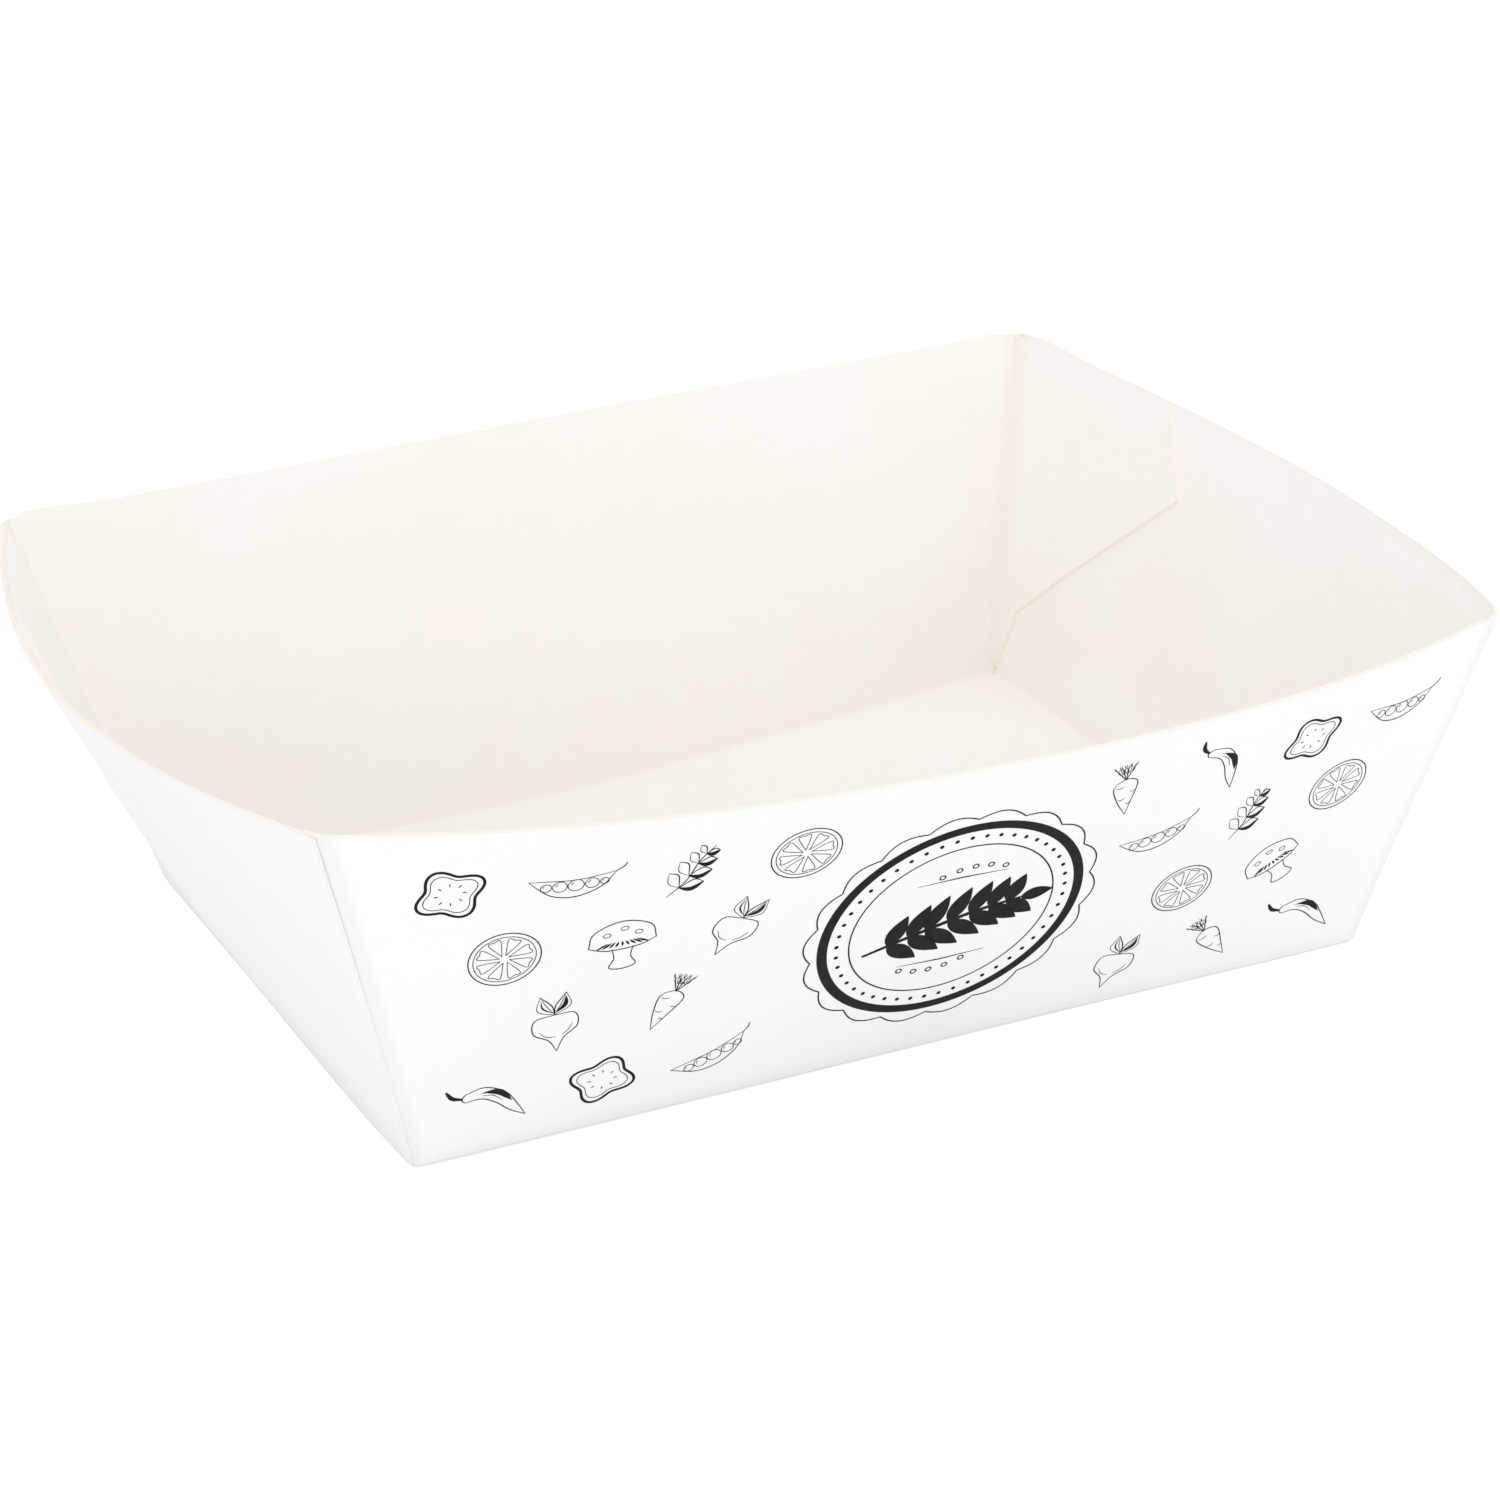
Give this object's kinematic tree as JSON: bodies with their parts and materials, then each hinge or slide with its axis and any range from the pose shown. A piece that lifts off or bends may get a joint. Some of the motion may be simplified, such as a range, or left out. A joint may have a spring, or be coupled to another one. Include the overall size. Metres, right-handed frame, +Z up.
{
  "type": "folded paperboard food tray",
  "caption": "Open folded paperboard tray with flared, outward-bowed walls and glue flaps inside the short walls, for serving snacks.",
  "frame": {"origin": "on the surface the tray stands on, under the middle of its overall length and width", "axes": "+X along the long walls, +Y from the printed front wall to the back wall, +Z up out of the open top"},
  "size_m": [0.1598, 0.1266, 0.0478],
  "materials": {
    "board": "matt paperboard, white outside and warm off-white inside"
  },
  "bodies": {
    "root": {"tray": "board"}
  },
  "joints": []
}
